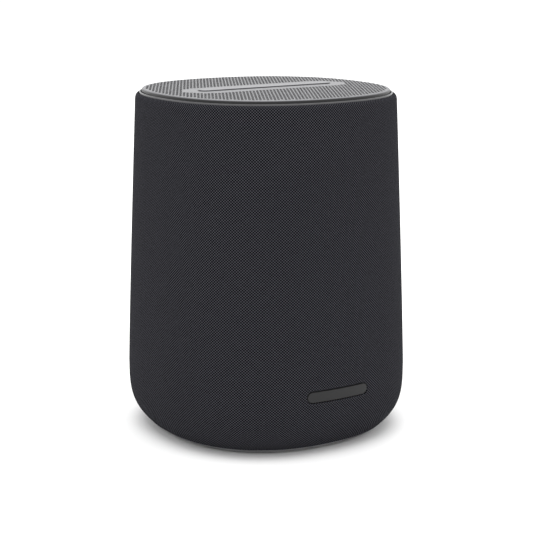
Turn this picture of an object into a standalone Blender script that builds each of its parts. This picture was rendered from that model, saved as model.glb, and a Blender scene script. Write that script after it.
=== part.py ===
"""Compact fabric-wrapped smart speaker that serves as a home hub, as an assembly of its real pieces.

Axes: +Z is up, the front with the badge faces -Y, and the control bar runs along X. The origin is the
centre of the foot, on the surface that the speaker stands on. Lengths in this file are millimetres;
add_object turns them into Blender's metres.
"""

import math

import bmesh
import bpy
from mathutils import Vector

MM = 0.001
GAP = 0.3  # between pieces that touch on the real object
SEGMENTS = 48  # round the rounded-square plan
INNER_SEGMENTS = 24  # the same, on pieces inside the speaker
ROUND = 24  # round a driver
SMALL_ROUND = 12  # round a screw, pin or button

# Outer skin: a rounded square in plan, widest low down, curving in to the base, tapering to the top.
PLAN_EXPONENT = 2.28
BASE_Z = 0.5
BASE_HALF = 57.1
BELLY_Z = 33.5
BELLY_HALF = 70.1
BASE_CURVE = 3.7
TAPER_RATE = 0.0207
TAPER_CURVE = 1.13
SHOULDER_Z = 171.4
SHOULDER_HEIGHT = 3.2
SHOULDER_TOP_HALF = 62.8

# Base
TRIM_TOP = 2.7
TRIM_INNER_HALF = 54.0
FOOT_OUTER_HALF = 52.0
FOOT_INNER_HALF = 44.0
FOOT_TOP = 2.6
BASE_PLATE_BOTTOM = 3.0
BASE_PLATE_TOP = 5.5
BASE_PLATE_HALF = 58.2
BASE_WALL_OUTER = 57.5
BASE_WALL_INNER = 55.5
BASE_WALL_TOP = 11.5
BASE_SCREWS = 3
BASE_SCREW_CIRCLE_R = 38.0

# Cloth and the frame that holds it
CLOTH_BOTTOM = 3.0
CLOTH_TOP = 174.5
CLOTH_THICKNESS = 1.5
FRAME_BOTTOM = 6.0
FRAME_TOP = 171.0
FRAME_INSET = 1.9
FRAME_THICKNESS = 2.0

# Sealed enclosure, flat at the front for the drivers and at the back for the port
ENCLOSURE_INSET = 4.7
ENCLOSURE_WALL = 3.0
ENCLOSURE_BOTTOM = 43.0
ENCLOSURE_TOP = 162.0
BAFFLE_Y = -48.0
REAR_Y = 57.0
LID_BOTTOM = 163.6
LID_TOP = 166.6

# Drivers; depths are measured back from the front face of the baffle
WOOFER_Z = 88.0
WOOFER_FLANGE_R = 42.0
WOOFER_HOLE_R = 38.0
CONE_R = 30.0
SURROUND_OUTER_R = 36.0
COIL_R = 10.3
COIL_WALL = 0.5
TWEETER_Z = 146.0
TWEETER_FLANGE_R = 15.5
TWEETER_HOLE_R = 13.3
DOME_R = 9.4
PORT_X = -18.0
PORT_Z = 120.0
PORT_R = 13.0

# Top plate, all but flat, and control bar
PLATE_HALF = 61.3
PLATE_RIM_Z = 176.95
PLATE_RISE = 0.3
DOME_EXPONENT = 4.0
PLATE_THICKNESS = 1.0
PLATE_ROLL = 1.0
BAR_LENGTH = 78.7
BAR_WIDTH = 7.4
BAR_PROUD = 0.55
BAR_BOTTOM = 174.4
LIP_INNER_HALF = 61.9
LIP_TOP = 175.3
CARRIER_BOTTOM = 168.0
CARRIER_TOP = 173.5
CARRIER_HALF = 60.4
CONTROL_BOARD_BOTTOM = 170.3

# Badge low on the front
BADGE_LENGTH = 35.5
BADGE_WIDTH = 5.4
BADGE_X = -1.6
BADGE_Z = 31.4
BADGE_THICKNESS = 1.3
BADGE_GAP = 0.4

# Connector bay low at the back
PANEL_BOTTOM = 12.0
PANEL_TOP = BELLY_Z
PANEL_EDGE_DEG = 75.0
PANEL_GAP_DEG = 0.5
PANEL_INSET = 0.5
PANEL_THICKNESS = 2.8
INLET_X = -9.5
INLET_Z = 22.5
INLET_NOSE = (16.4, 9.9)
INLET_SOCKET = (14.6, 7.8)
INLET_FACE_Y = 67.9
INLET_BODY_Y = 63.3
INLET_BACK_Y = 46.0
INLET_DEPTH = 13.0
PIN_SPACING = 8.6
PIN_R = 1.2
PORT_SLOT = (9.2, 3.4)
SERVICE_X = 8.5
SERVICE_Z = 17.6
PAIRING_X = 4.6
MUTE_X = 13.0
CONTROLS_Z = 27.4
PAIRING_R = 2.6
MUTE_KNOB = (3.4, 2.4)
MUTE_TRAVEL = 2.5
PANEL_BOARD_Y = 57.5

# Electronics on the base plate
BOARD_THICKNESS = 1.2
BOARD_BOTTOM = 9.0


def clear_scene():
    for obj in list(bpy.data.objects):
        bpy.data.objects.remove(obj)


def make_material(name, colour, roughness, metallic=0.0):
    material = bpy.data.materials.new(name)
    material.use_nodes = True
    shader = material.node_tree.nodes["Principled BSDF"]
    shader.inputs["Base Color"].default_value = (*colour, 1.0)
    shader.inputs["Roughness"].default_value = roughness
    shader.inputs["Metallic"].default_value = metallic
    material.diffuse_color = (*colour, 1.0)
    return material


def add_object(name, points, faces, material, parent=None, sharp_deg=35.0):
    """A mesh object from millimetre points, its faces turned outwards and shaded smooth up to sharp_deg."""
    mesh = bpy.data.meshes.new(name)
    mesh.from_pydata([Vector(point) * MM for point in points], [], faces)
    work = bmesh.new()
    work.from_mesh(mesh)
    bmesh.ops.recalc_face_normals(work, faces=work.faces)
    bmesh.ops.triangulate(work, faces=work.faces)
    work.to_mesh(mesh)
    work.free()
    mesh.shade_smooth()
    mesh.set_sharp_from_angle(angle=math.radians(sharp_deg))
    if material:
        mesh.materials.append(material)
    obj = bpy.data.objects.new(name, mesh)
    bpy.context.collection.objects.link(obj)
    obj.parent = parent
    return obj


def add_axis(name, location, rotation=(0.0, 0.0, 0.0)):
    """An empty that carries a driver or a control; its local Z is the way that piece works along."""
    empty = bpy.data.objects.new(name, None)
    empty.location = Vector(location) * MM
    empty.rotation_euler = [math.radians(angle) for angle in rotation]
    empty.empty_display_size = 0.01
    bpy.context.collection.objects.link(empty)
    return empty


def cut(obj, name, points, faces, parent=None):
    """Removes a closed shape from obj with a Boolean and hides the cutter."""
    cutter = add_object(name, points, faces, None, parent)
    cutter.hide_render = True
    cutter.display_type = "WIRE"
    boolean = obj.modifiers.new(name, "BOOLEAN")
    boolean.operation = "DIFFERENCE"
    boolean.solver = "EXACT"
    boolean.object = cutter


def loft(rings, closed=False):
    """Joins rings of points by faces. A ring of one point is a pole; closed joins the last to the first."""
    points = []
    spans = []
    for ring in rings:
        spans.append((len(points), len(ring)))
        points.extend(ring)
    pairs = list(zip(spans, spans[1:]))
    if closed:
        pairs.append((spans[-1], spans[0]))
    faces = []
    for (low, low_count), (high, high_count) in pairs:
        count = max(low_count, high_count)
        for i in range(count):
            j = (i + 1) % count
            corners = [low + i % low_count, low + j % low_count]
            corners += [high + j % high_count, high + i % high_count]
            faces.append(list(dict.fromkeys(corners)))
    if not closed:
        for start, count in (spans[0], spans[-1]):
            if count > 2:
                faces.append(list(range(start, start + count)))
    return points, faces


def plan_point(half, degrees, exponent=PLAN_EXPONENT):
    """A point of the plan curve |x|^n + |y|^n = half^n, which is a circle where the exponent is 2."""
    cosine = math.cos(math.radians(degrees))
    sine = math.sin(math.radians(degrees))
    x = math.copysign(abs(cosine) ** (2.0 / exponent), cosine)
    y = math.copysign(abs(sine) ** (2.0 / exponent), sine)
    return half * x, half * y


def plan_ring(half, z, exponent=PLAN_EXPONENT, segments=SEGMENTS, front_y=None, rear_y=None):
    """One level ring of the plan curve, cut flat at front_y or rear_y where those are given."""
    if half == 0.0:
        return [(0.0, 0.0, z)]
    ring = []
    for i in range(segments):
        x, y = plan_point(half, 360.0 * i / segments, exponent)
        if front_y is not None:
            y = max(y, front_y)
        if rear_y is not None:
            y = min(y, rear_y)
        ring.append((x, y, z))
    return ring


def squared(profile, closed=False, segments=SEGMENTS):
    """A body turned round Z along the rounded square, from (half width, z) points."""
    return loft([plan_ring(half, z, segments=segments) for half, z in profile], closed)


def turned(profile, closed=False, segments=ROUND):
    """A body turned round Z along a circle, from (radius, z) points."""
    return loft([plan_ring(radius, z, 2.0, segments) for radius, z in profile], closed)


def rectangle_ring(width, depth, radius, z, centre=(0.0, 0.0), steps=3):
    """A level rounded rectangle; a radius of half its depth makes it a capsule."""
    ring = []
    for corner in range(4):
        sign_x = (1, -1, -1, 1)[corner]
        sign_y = (1, 1, -1, -1)[corner]
        for step in range(steps + 1):
            angle = math.radians(90.0 * (corner + step / steps))
            x = sign_x * (width / 2 - radius) + radius * math.cos(angle)
            y = sign_y * (depth / 2 - radius) + radius * math.sin(angle)
            ring.append((centre[0] + x, centre[1] + y, z))
    return ring


def block(size, centre, radius=0.8):
    """A box with rounded upright edges; centre is the middle of its bottom face."""
    heights = (centre[2], centre[2] + size[2])
    rings = [rectangle_ring(size[0], size[1], radius, z, centre[:2]) for z in heights]
    return loft(rings)


def facing_y(shape, y_sign=1):
    """Lays a shape down: its Z becomes Y (or -Y) and its Y becomes Z."""
    points, faces = shape
    return [(x, y_sign * z, y) for x, y, z in points], faces


def skin(z):
    """Half width of the outer skin at a height."""
    if z < BELLY_Z:
        drop = (BELLY_HALF - BASE_HALF) * ((BELLY_Z - z) / (BELLY_Z - BASE_Z)) ** BASE_CURVE
        return BELLY_HALF - drop
    if z <= SHOULDER_Z:
        return BELLY_HALF - TAPER_RATE * (z - BELLY_Z) ** TAPER_CURVE
    rise = min((z - SHOULDER_Z) / SHOULDER_HEIGHT, 1.0)
    return SHOULDER_TOP_HALF + (skin(SHOULDER_Z) - SHOULDER_TOP_HALF) * math.sqrt(1.0 - rise * rise)


def skin_depth(x, z):
    """How far the skin reaches forwards or backwards of the centre at this x and height."""
    half = skin(z)
    return half * (1.0 - (abs(x) / half) ** PLAN_EXPONENT) ** (1.0 / PLAN_EXPONENT)


def plate_height(x, y):
    """Height of the top plate's upper surface: a shallow dome that falls to the rim."""
    share = (abs(x) ** PLAN_EXPONENT + abs(y) ** PLAN_EXPONENT) ** (1.0 / PLAN_EXPONENT) / PLATE_HALF
    return dome_height(share)


def dome_height(share):
    """Height of the dome at a share of the way from its centre to its rim."""
    return PLATE_RIM_Z + PLATE_RISE * (1.0 - share**DOME_EXPONENT)


def bar_axis_z():
    return plate_height(0.0, 0.0)


def shell(angles, levels, outer, inner, is_open=None, wrap=True):
    """A shell between two half-width functions of z, made of cells; is_open leaves out a cell."""
    columns = len(angles)
    rows = len(levels) - 1
    points = []
    for half_at in (outer, inner):
        for z in levels:
            points += [(*plan_point(half_at(z), degrees), z) for degrees in angles]

    def index(side, row, column):
        return side * columns * len(levels) + row * columns + column % columns

    def filled(column, row):
        if not 0 <= row < rows:
            return False
        if not wrap and not 0 <= column < columns - 1:
            return False
        return is_open is None or not is_open(column % columns, row)

    faces = []
    for row in range(rows):
        for column in range(columns if wrap else columns - 1):
            if not filled(column, row):
                continue
            corners = [(row, column), (row, column + 1), (row + 1, column + 1), (row + 1, column)]
            neighbours = [(column, row - 1), (column + 1, row), (column, row + 1), (column - 1, row)]
            faces.append([index(0, *corner) for corner in corners])
            faces.append([index(1, *corner) for corner in reversed(corners)])
            for side in range(4):
                if filled(*neighbours[side]):
                    continue
                start = corners[side]
                end = corners[(side + 1) % 4]
                faces.append([index(0, *end), index(0, *start), index(1, *start), index(1, *end)])
    used = sorted({corner for face in faces for corner in face})
    place = {old: new for new, old in enumerate(used)}
    return [points[old] for old in used], [[place[corner] for corner in face] for face in faces]


def capsule_strip(length, width, low, high, edge, steps=16):
    """A capsule-shaped bar along X whose under and upper faces follow the functions low(x) and high(x)."""
    radius = width / 2
    straight = length / 2 - radius
    sections = []
    for i in range(steps + 1):
        x = -math.cos(math.pi * i / steps) * (length / 2 - 0.02)
        beyond = max(abs(x) - straight, 0.0)
        half = math.sqrt(radius * radius - beyond * beyond)
        inner = half - min(edge, half * 0.5)
        sections.append(
            [
                (x, -half, low(x)),
                (x, half, low(x)),
                (x, half, high(x) - edge),
                (x, inner, high(x)),
                (x, -inner, high(x)),
                (x, -half, high(x) - edge),
            ]
        )
    return loft(sections)


def smooth_route(stops, spacing=4.0):
    """Points along one smooth curve through the stops (Catmull-Rom)."""
    stops = [Vector(stop) for stop in stops]
    padded = [stops[0] * 2 - stops[1], *stops, stops[-1] * 2 - stops[-2]]
    route = []
    for before, start, end, after in zip(padded, padded[1:], padded[2:], padded[3:]):
        count = max(2, round((end - start).length / spacing))
        for i in range(count):
            t = i / count
            bend = (before * 2 - start * 5 + end * 4 - after) * t * t
            turn = (start * 3 - before - end * 3 + after) * t * t * t
            route.append((start * 2 + (end - before) * t + bend + turn) / 2)
    route.append(stops[-1])
    return route


def add_lead(name, stops, radius, material):
    """A round wire along a smooth route."""
    route = smooth_route(stops)
    curve = bpy.data.curves.new(name, "CURVE")
    curve.dimensions = "3D"
    curve.bevel_depth = radius * MM
    curve.bevel_resolution = 1
    curve.use_fill_caps = True
    spline = curve.splines.new("POLY")
    spline.points.add(len(route) - 1)
    for point, place in zip(spline.points, route):
        point.co = (*(place * MM), 1.0)
    curve.materials.append(material)
    obj = bpy.data.objects.new(name, curve)
    bpy.context.collection.objects.link(obj)


def ribbon(stops, x_range, thickness):
    """A flat cable: (y, z) stops swept across x_range."""
    rings = []
    for i, (y, z) in enumerate(stops):
        before = Vector(stops[max(i - 1, 0)])
        after = Vector(stops[min(i + 1, len(stops) - 1)])
        along = (after - before).normalized()
        side = Vector((-along.y, along.x)) * thickness / 2
        low_x, high_x = x_range
        rings.append(
            [
                (low_x, y - side.x, z - side.y),
                (high_x, y - side.x, z - side.y),
                (high_x, y + side.x, z + side.y),
                (low_x, y + side.x, z + side.y),
            ]
        )
    return loft(rings)


def screw(head_r, head_height, shank_r, length):
    """A pan-head screw with a round drive: its head's top is at 0 and its shank points along +Z."""
    drive_r = head_r * 0.45
    profile = [
        (drive_r, head_height * 0.6),
        (drive_r, 0.0),
        (head_r * 0.8, 0.0),
        (head_r, head_height * 0.5),
        (head_r, head_height),
        (shank_r, head_height),
        (shank_r, length - shank_r),
        (0.0, length),
    ]
    return turned(profile, segments=SMALL_ROUND)


def all_angles():
    return [360.0 * i / SEGMENTS for i in range(SEGMENTS)]


def in_panel(column):
    """Whether a cell of the full circle of cells lies behind the connector panel."""
    first = round(PANEL_EDGE_DEG / 360.0 * SEGMENTS)
    last = round((180.0 - PANEL_EDGE_DEG) / 360.0 * SEGMENTS)
    return first <= column < last


def build_base(materials):
    half = skin(TRIM_TOP)
    middle = (BASE_Z + TRIM_TOP) / 2
    profile = [
        (TRIM_INNER_HALF, BASE_Z),
        (BASE_HALF, BASE_Z),
        (skin(middle), middle),
        (half, TRIM_TOP),
        (TRIM_INNER_HALF, TRIM_TOP),
    ]
    add_object("base_trim_ring", *squared(profile, closed=True), materials["trim"])

    profile = [
        (FOOT_INNER_HALF, 0.0),
        (FOOT_OUTER_HALF - 0.4, 0.0),
        (FOOT_OUTER_HALF, 0.4),
        (FOOT_OUTER_HALF, FOOT_TOP),
        (FOOT_INNER_HALF, FOOT_TOP),
    ]
    add_object("foot_pad", *squared(profile, closed=True), materials["rubber"])

    profile = [
        (BASE_PLATE_HALF, BASE_PLATE_BOTTOM),
        (BASE_PLATE_HALF + 1.2, BASE_PLATE_TOP - GAP),
        (BASE_WALL_OUTER, BASE_PLATE_TOP - GAP),
        (BASE_WALL_OUTER, BASE_WALL_TOP),
        (BASE_WALL_INNER, BASE_WALL_TOP),
        (BASE_WALL_INNER, BASE_PLATE_TOP),
    ]
    plate = add_object("base_plate", *squared(profile, segments=INNER_SEGMENTS), materials["black_plastic"])
    head_height = 1.4
    screw_shape = screw(3.0, head_height, 1.5, 7.0)
    seat_z = BASE_PLATE_BOTTOM - GAP - head_height
    hole = turned([(1.8, 0.0), (1.8, 6.0)], segments=SMALL_ROUND)
    for index in range(BASE_SCREWS):
        x, y = plan_point(BASE_SCREW_CIRCLE_R, 90.0 + 360.0 * index / BASE_SCREWS, 2.0)
        seat = add_axis(f"base_screw_seat_{index + 1}", (x, y, seat_z))
        cut(plate, f"base_screw_hole_{index + 1}", *hole, seat)
        add_object(f"base_screw_{index + 1}", *screw_shape, materials["steel"], seat)


def build_cloth(materials):
    shoulder_middle = SHOULDER_Z + SHOULDER_HEIGHT * 0.7
    levels = [CLOTH_BOTTOM, 6.5, PANEL_BOTTOM, 20.0, PANEL_TOP, 100.0]
    levels += [SHOULDER_Z, shoulder_middle, CLOTH_TOP]
    panel_rows = range(levels.index(PANEL_BOTTOM), levels.index(PANEL_TOP))

    def inner(z):
        thinned = skin(z) - CLOTH_THICKNESS
        return max(thinned, SHOULDER_TOP_HALF) if z > SHOULDER_Z else thinned

    def is_open(column, row):
        return in_panel(column) and row in panel_rows

    shape = shell(all_angles(), levels, skin, inner, is_open)
    sleeve = add_object("fabric_sleeve", *shape, materials["cloth"])
    hole = loft(
        [
            rectangle_ring(
                BADGE_LENGTH + 2 * BADGE_GAP,
                BADGE_WIDTH + 2 * BADGE_GAP,
                BADGE_WIDTH / 2,
                depth,
                (BADGE_X, BADGE_Z),
                steps=5,
            )
            for depth in (62.0, 75.0)
        ]
    )
    cut(sleeve, "badge_hole", *facing_y(hole, -1))


def build_grille_frame(materials):
    levels = [FRAME_BOTTOM, PANEL_BOTTOM, 20.0, PANEL_TOP]
    window_rows = []
    first_window = 50.0
    window_height = 35.0
    rib_height = 4.0
    for window in range(3):
        bottom = first_window + window * (window_height + rib_height)
        window_rows.append(len(levels))
        levels += [bottom, bottom + window_height]
    levels.append(FRAME_TOP)
    panel_rows = range(levels.index(PANEL_BOTTOM), levels.index(PANEL_TOP))
    columns_per_window = 6

    def is_open(column, row):
        if in_panel(column) and row in panel_rows:
            return True
        return row in window_rows and column % columns_per_window != 0

    def outer(z):
        return skin(z) - FRAME_INSET

    def inner(z):
        return skin(z) - FRAME_INSET - FRAME_THICKNESS

    shape = shell(all_angles(), levels, outer, inner, is_open)
    add_object("grille_frame", *shape, materials["black_plastic"])


def enclosure_ring(z, inset):
    wall = inset - ENCLOSURE_INSET
    return plan_ring(
        skin(z) - inset, z, segments=INNER_SEGMENTS, front_y=BAFFLE_Y + wall, rear_y=REAR_Y - wall
    )


def build_enclosure(materials, woofer_axis, tweeter_axis, port_axis):
    levels = [ENCLOSURE_BOTTOM, 100.0, ENCLOSURE_TOP]
    inner_inset = ENCLOSURE_INSET + ENCLOSURE_WALL
    rings = [enclosure_ring(z, ENCLOSURE_INSET) for z in levels]
    floor = ENCLOSURE_BOTTOM + ENCLOSURE_WALL
    rings += [enclosure_ring(z, inner_inset) for z in (ENCLOSURE_TOP, 100.0, floor)]
    box = add_object("enclosure_shell", *loft(rings), materials["grey_plastic"])

    def hole(radius):
        return turned([(radius, -10.0), (radius, 10.0)])

    cut(box, "woofer_hole", *hole(WOOFER_HOLE_R), woofer_axis)
    cut(box, "tweeter_hole", *hole(TWEETER_HOLE_R), tweeter_axis)
    cut(box, "port_hole", *hole(PORT_R + GAP), port_axis)
    for name, x, y in (("woofer_lead_hole", 34.0, 4.0), ("tweeter_lead_hole", 22.0, 12.0)):
        lead_axis = add_axis(name + "_axis", (x, y, ENCLOSURE_BOTTOM))
        cut(box, name, *turned([(2.0, -6.0), (2.0, 6.0)], segments=SMALL_ROUND), lead_axis)

    gasket_top = LID_BOTTOM - GAP
    gasket_bottom = ENCLOSURE_TOP + GAP
    rings = []
    for inset, z in (
        (ENCLOSURE_INSET + 0.4, gasket_bottom),
        (ENCLOSURE_INSET + 0.4, gasket_top),
        (inner_inset - 0.4, gasket_top),
        (inner_inset - 0.4, gasket_bottom),
    ):
        rings.append(enclosure_ring(z, inset))
    add_object("enclosure_gasket", *loft(rings, closed=True), materials["rubber"])

    rings = [enclosure_ring(z, ENCLOSURE_INSET) for z in (LID_BOTTOM, LID_TOP)]
    add_object("enclosure_lid", *loft(rings), materials["grey_plastic"])

    wadding = [
        rectangle_ring(60.0, 22.0, 10.0, 48.0, (0.0, 34.0)),
        rectangle_ring(78.0, 32.0, 14.0, 58.0, (0.0, 34.0)),
        rectangle_ring(80.0, 34.0, 14.0, 82.0, (0.0, 34.0)),
        rectangle_ring(62.0, 24.0, 10.0, 98.0, (0.0, 34.0)),
    ]
    add_object("acoustic_wadding", *loft(wadding), materials["wadding"])

    inner_r = PORT_R - 1.8
    profile = [
        (PORT_R, 0.0),
        (PORT_R, -34.0),
        (PORT_R + 4.0, -42.0),
        (PORT_R + 2.6, -42.6),
        (inner_r, -34.0),
        (inner_r, 0.0),
    ]
    add_object("bass_port", *turned(profile, closed=True), materials["black_plastic"], port_axis)


def build_woofer(materials, axis):
    """Bass and middle driver. Local Z runs back from the baffle's front face."""
    seat = -1.0 - GAP
    profile = [
        (WOOFER_HOLE_R, seat),
        (WOOFER_FLANGE_R - 0.5, seat),
        (WOOFER_FLANGE_R - 0.5, -GAP),
        (WOOFER_HOLE_R, -GAP),
    ]
    add_object("woofer_gasket", *turned(profile, closed=True), materials["rubber"], axis)

    flange_back = seat - GAP
    profile = [
        (SURROUND_OUTER_R + GAP, flange_back - 2.2),
        (WOOFER_FLANGE_R, flange_back - 2.2),
        (WOOFER_FLANGE_R, flange_back),
        (WOOFER_HOLE_R - 0.5, flange_back),
        (WOOFER_HOLE_R - 0.5, 5.0),
        (28.0, 19.0),
        (28.0, 22.0),
        (13.0, 22.0),
        (13.0, 20.4),
        (26.0, 20.4),
        (26.0, 18.2),
        (SURROUND_OUTER_R - 0.2, 4.4),
        (SURROUND_OUTER_R - 0.2, 0.6),
        (33.6, 0.6),
        (33.6, -0.6),
        (SURROUND_OUTER_R + GAP, -0.6),
    ]
    basket = add_object("woofer_basket", *turned(profile, closed=True), materials["black_metal"], axis)
    for index in range(4):
        angle = math.radians(45.0 + 90.0 * index)
        centre = (32.0 * math.cos(angle), 32.0 * math.sin(angle))
        window = turned([(8.0, 6.5), (8.0, 17.0)], segments=SMALL_ROUND)
        points = [(x + centre[0], y + centre[1], z) for x, y, z in window[0]]
        cut(basket, f"basket_window_{index + 1}", points, window[1], axis)

    profile = [(11.6, 22.0 + GAP), (26.0, 22.0 + GAP), (26.0, 26.3), (11.6, 26.3)]
    add_object("woofer_front_plate", *turned(profile, closed=True), materials["steel"], axis)
    profile = [(14.0, 26.3 + GAP), (30.0, 26.3 + GAP), (30.0, 38.6), (14.0, 38.6)]
    add_object("woofer_magnet", *turned(profile, closed=True), materials["ferrite"], axis)
    profile = [
        (9.7, 22.3),
        (9.7, 38.6 + GAP),
        (27.0, 38.6 + GAP),
        (27.0, 42.0),
        (26.0, 43.0),
    ]
    add_object("woofer_yoke", *turned(profile), materials["steel"], axis)

    former = COIL_R + COIL_WALL
    profile = [(COIL_R, 9.0), (former, 9.0), (former, 27.5), (COIL_R, 27.5)]
    add_object("woofer_voice_coil", *turned(profile, closed=True), materials["copper"], axis)
    profile = [
        (CONE_R, -0.9),
        (CONE_R, 0.0),
        (13.0, 9.4),
        (former + 0.8, 10.8),
        (former + GAP, 10.8),
        (former + GAP, 10.0),
        (12.4, 8.6),
        (CONE_R - 1.0, -0.9),
    ]
    add_object("woofer_cone", *turned(profile, closed=True), materials["cone"], axis)
    outside = [(0.0, 2.4), (6.0, 3.2), (10.0, 5.2), (11.6, 7.6)]
    inside = [(11.0, 8.2), (9.4, 6.0), (5.6, 4.0), (0.0, 3.2)]
    add_object("woofer_dust_cap", *turned(outside + inside), materials["cone"], axis)

    inner_r = CONE_R + GAP
    middle_r = (inner_r + 33.3) / 2
    half_roll = (33.3 - inner_r) / 2
    outside = []
    inside = []
    for step in range(5):
        angle = math.pi * step / 4
        outside.append((middle_r - half_roll * math.cos(angle), -0.7 - 2.0 * math.sin(angle)))
        inside.append((middle_r - (half_roll - 0.5) * math.cos(angle), -0.7 - 1.5 * math.sin(angle)))
    ledge = [(SURROUND_OUTER_R, -1.2), (SURROUND_OUTER_R, -0.9)]
    profile = outside[:-1] + [(33.3, -1.2)] + ledge + [(33.0, -0.9)] + inside[-2::-1]
    add_object("woofer_surround", *turned(profile, closed=True), materials["rubber"], axis)

    crest = []
    for step in range(5):
        radius = former + GAP + 0.1 + step * 3.5
        crest.append((radius, 16.0 + (0.7 if step % 2 else -0.7)))
    trough = [(radius, z + 0.5) for radius, z in reversed(crest)]
    add_object("woofer_spider", *turned(crest + trough, closed=True), materials["spider"], axis)

    bolt_r = (WOOFER_HOLE_R + WOOFER_FLANGE_R) / 2
    head_top = flange_back - 2.2 - GAP - 1.2
    shape = screw(1.7, 1.2, 0.0, 1.2)
    for index in range(4):
        angle = math.radians(45.0 + 90.0 * index)
        seat_axis = add_axis(f"woofer_screw_seat_{index + 1}", (0.0, 0.0, 0.0))
        seat_axis.parent = axis
        seat_axis.location = Vector((bolt_r * math.cos(angle), bolt_r * math.sin(angle), head_top)) * MM
        add_object(f"woofer_screw_{index + 1}", *shape, materials["steel"], seat_axis)


def build_tweeter(materials, axis):
    """Treble driver. Local Z runs back from the baffle's front face."""
    profile = [
        (DOME_R + 1.1, -0.8),
        (12.6, -2.2),
        (TWEETER_FLANGE_R - 0.6, -2.6),
        (TWEETER_FLANGE_R, -2.0),
        (TWEETER_FLANGE_R, -GAP),
        (DOME_R + 1.1, -GAP),
    ]
    add_object("tweeter_faceplate", *turned(profile, closed=True), materials["black_plastic"], axis)
    motor_r = 12.6
    profile = [
        (DOME_R - 1.0, 1.6),
        (DOME_R - 1.0, 7.0),
        (DOME_R + 0.6, 7.0),
        (DOME_R + 0.6, 0.0),
        (motor_r, 0.0),
        (motor_r, 13.0),
        (11.6, 14.0),
    ]
    add_object("tweeter_motor", *turned(profile), materials["steel"], axis)
    outside = [(0.0, -3.4), (3.2, -3.2), (6.2, -2.4), (8.4, -1.0), (DOME_R, 0.4), (DOME_R, 5.0)]
    inside = [(DOME_R - 0.5, 5.0), (DOME_R - 0.5, 0.6), (7.9, -0.6), (5.8, -1.9), (3.0, -2.7), (0.0, -2.9)]
    add_object("tweeter_dome", *turned(outside + inside), materials["dome"], axis)


def build_top(materials, bar_axis):
    rim = PLATE_RIM_Z
    inner_half = PLATE_HALF - PLATE_THICKNESS
    shares = (0.0, 0.45, 0.7, 0.86, 0.96)

    def dome(share, drop):
        return (share * PLATE_HALF, dome_height(share) - drop)

    upper = [dome(share, 0.0) for share in shares]
    roll = [
        (PLATE_HALF - PLATE_ROLL, rim),
        (PLATE_HALF - PLATE_ROLL * 0.3, rim - PLATE_ROLL * 0.3),
        (PLATE_HALF, rim - PLATE_ROLL),
        (PLATE_HALF, CARRIER_TOP + 0.4),
        (inner_half, CARRIER_TOP + 0.4),
        (inner_half, rim - PLATE_ROLL),
    ]
    under = [dome(share, PLATE_THICKNESS) for share in reversed(shares)]
    plate = add_object("top_plate", *squared(upper + roll + under), materials["silver"])
    slot_length = BAR_LENGTH + 2 * GAP
    slot_width = BAR_WIDTH + 2 * GAP
    slot = [
        rectangle_ring(slot_length, slot_width, slot_width / 2 - 0.01, z, steps=6)
        for z in (CARRIER_TOP, PLATE_RIM_Z + 4.0)
    ]
    cut(plate, "bar_slot", *loft(slot))

    def bar_low(_x):
        return BAR_BOTTOM - bar_axis_z()

    def bar_high(x):
        return plate_height(x, 0.0) + BAR_PROUD - bar_axis_z()

    bar = capsule_strip(BAR_LENGTH, BAR_WIDTH, bar_low, bar_high, 0.35)
    add_object("control_bar", *bar, materials["silver"], bar_axis)

    mesh_drop = PLATE_THICKNESS + 0.35
    mesh_shares = (0.0, 0.5, 0.95)
    over = [dome(share, mesh_drop) for share in mesh_shares]
    below = [dome(share, mesh_drop + 0.4) for share in reversed(mesh_shares)]
    sheet = squared(over + below, segments=INNER_SEGMENTS)
    mesh = add_object("acoustic_mesh", *sheet, materials["mesh"])
    cut(mesh, "bar_mesh_slot", *loft(slot))

    lip_outer = SHOULDER_TOP_HALF - GAP
    profile = [
        (LIP_INNER_HALF, FRAME_TOP + 0.4),
        (lip_outer + 0.3, FRAME_TOP + 0.4),
        (lip_outer, FRAME_TOP + 1.4),
        (lip_outer, LIP_TOP),
        (LIP_INNER_HALF, LIP_TOP),
    ]
    add_object("top_trim_ring", *squared(profile, closed=True), materials["gloss_black"])

    profile = [
        (CARRIER_HALF, CARRIER_BOTTOM),
        (CARRIER_HALF, CARRIER_TOP),
        (CARRIER_HALF - 2.0, CARRIER_TOP),
        (CARRIER_HALF - 2.0, CONTROL_BOARD_BOTTOM - GAP),
    ]
    dish = squared(profile, segments=INNER_SEGMENTS)
    carrier = add_object("top_carrier", *dish, materials["black_plastic"])
    for name, y in (("carrier_window_front", -32.0), ("carrier_window_rear", 32.0)):
        heights = (CARRIER_BOTTOM - 2.0, CARRIER_TOP + 2.0)
        window = [rectangle_ring(88.0, 30.0, 10.0, z, (0.0, y)) for z in heights]
        cut(carrier, name, *loft(window))

    board = block((92.0, 22.0, BOARD_THICKNESS), (2.0, 0.0, CONTROL_BOARD_BOTTOM), 1.5)
    add_object("control_board", *board, materials["board"])
    switch_z = CONTROL_BOARD_BOTTOM + BOARD_THICKNESS + GAP
    for name, x in (("bar_switch_left", -26.0), ("bar_switch_right", 26.0)):
        body = [
            rectangle_ring(6.0, 6.0, 0.4, switch_z, (x, 0.0)),
            rectangle_ring(6.0, 6.0, 0.4, switch_z + 1.2, (x, 0.0)),
            rectangle_ring(3.0, 3.0, 1.4, switch_z + 1.2, (x, 0.0)),
            rectangle_ring(3.0, 3.0, 1.4, switch_z + 1.8, (x, 0.0)),
        ]
        add_object(name, *loft(body), materials["black_plastic"])


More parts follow.
